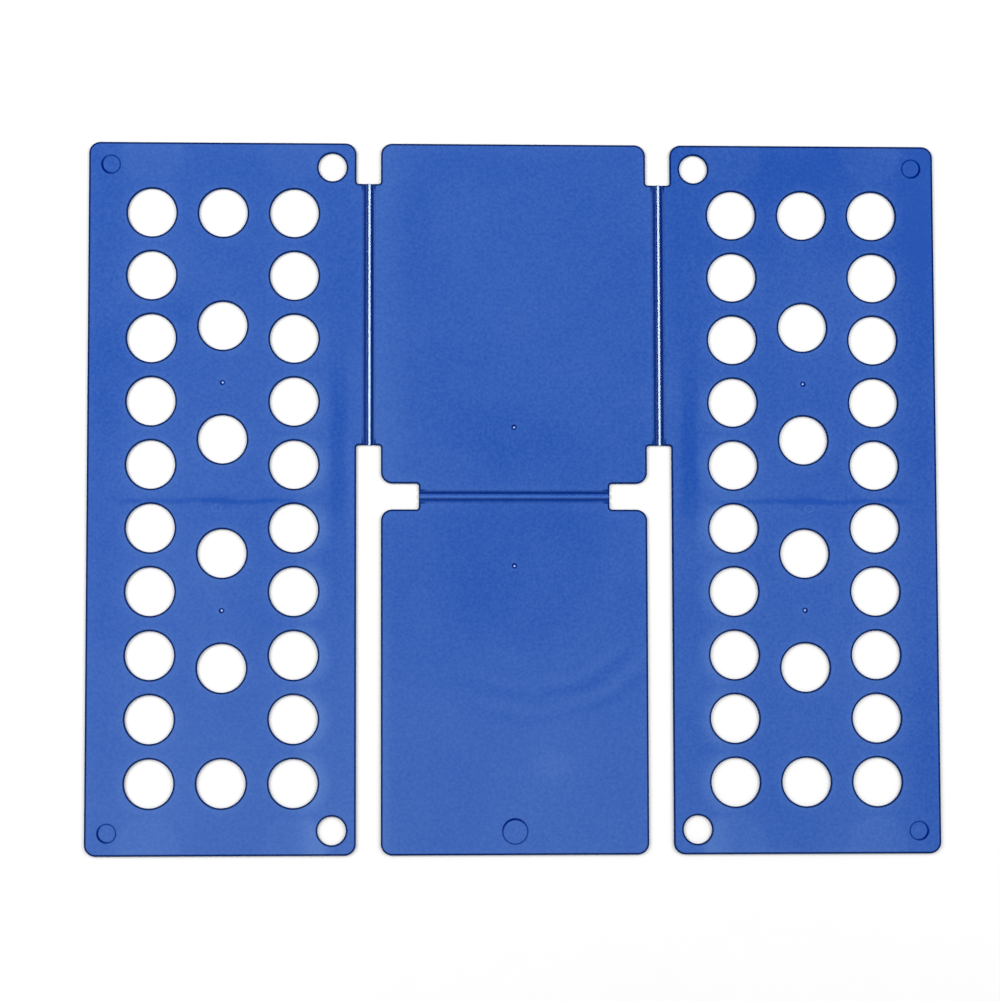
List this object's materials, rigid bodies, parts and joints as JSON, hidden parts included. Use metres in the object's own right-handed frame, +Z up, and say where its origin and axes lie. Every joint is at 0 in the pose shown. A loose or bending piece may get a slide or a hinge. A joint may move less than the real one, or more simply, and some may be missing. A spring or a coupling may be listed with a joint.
{
  "type": "shirt folding board",
  "caption": "Flat hinged plastic board whose side panels and lower flap fold up over a centre panel, to fold a shirt laid on it.",
  "frame": {"origin": "middle of the flat board, on its underside; the cross fold runs through it", "axes": "+Z up from the table, +X to the right between the side panels, +Y towards the shirt's collar"},
  "size_m": [0.677, 0.567, 0.002],
  "materials": {
    "board_plastic": "moulded polypropylene with a fine grain and a soft sheen",
    "hinge_plastic": "the same polypropylene, smooth where it flexes"
  },
  "bodies": {
    "centre_panel": {"centre_panel": "board_plastic"},
    "left_spine": {"left_spine": "hinge_plastic", "left_inner_web": "hinge_plastic", "left_outer_web": "hinge_plastic"},
    "left_panel": {"left_panel": "board_plastic"},
    "right_spine": {"right_spine": "hinge_plastic", "right_inner_web": "hinge_plastic", "right_outer_web": "hinge_plastic"},
    "right_panel": {"right_panel": "board_plastic"},
    "lower_spine": {"lower_spine": "hinge_plastic", "lower_inner_web": "hinge_plastic", "lower_outer_web": "hinge_plastic"},
    "lower_flap": {"lower_flap": "board_plastic"}
  },
  "joints": [
    {"name": "left_spine_turn", "type": "hinge", "parent": "centre_panel", "child": "left_spine", "pos_m": [-0.11265, 0.146, 0.0015], "axis": [0, 1, 0], "range_deg": [0, 41.2], "deforming": ["left_inner_web"]},
    {"name": "left_fold", "type": "hinge", "parent": "left_spine", "child": "left_panel", "pos_m": [-0.11895, 0.146, 0.0015], "axis": [0, 1, 0], "range_deg": [0, 138.8], "deforming": ["left_outer_web"]},
    {"name": "right_spine_turn", "type": "hinge", "parent": "centre_panel", "child": "right_spine", "pos_m": [0.11265, 0.146, 0.0015], "axis": [0, -1, 0], "range_deg": [0, 79.8], "deforming": ["right_inner_web"]},
    {"name": "right_fold", "type": "hinge", "parent": "right_spine", "child": "right_panel", "pos_m": [0.11895, 0.146, 0.0015], "axis": [0, -1, 0], "range_deg": [0, 100.2], "deforming": ["right_outer_web"]},
    {"name": "lower_spine_turn", "type": "hinge", "parent": "centre_panel", "child": "lower_spine", "pos_m": [0, 0.00315, 0.0015], "axis": [-1, 0, 0], "range_deg": [0, 19.5], "deforming": ["lower_inner_web"]},
    {"name": "lower_fold", "type": "hinge", "parent": "lower_spine", "child": "lower_flap", "pos_m": [0, -0.00315, 0.0015], "axis": [-1, 0, 0], "range_deg": [0, 160.5], "deforming": ["lower_outer_web"]}
  ],
  "couplings": [
    {"joint": "left_spine_turn", "follows": "left_fold", "ratio": 0.29682},
    {"joint": "right_spine_turn", "follows": "right_fold", "ratio": 0.7964},
    {"joint": "lower_spine_turn", "follows": "lower_fold", "ratio": 0.12149}
  ]
}
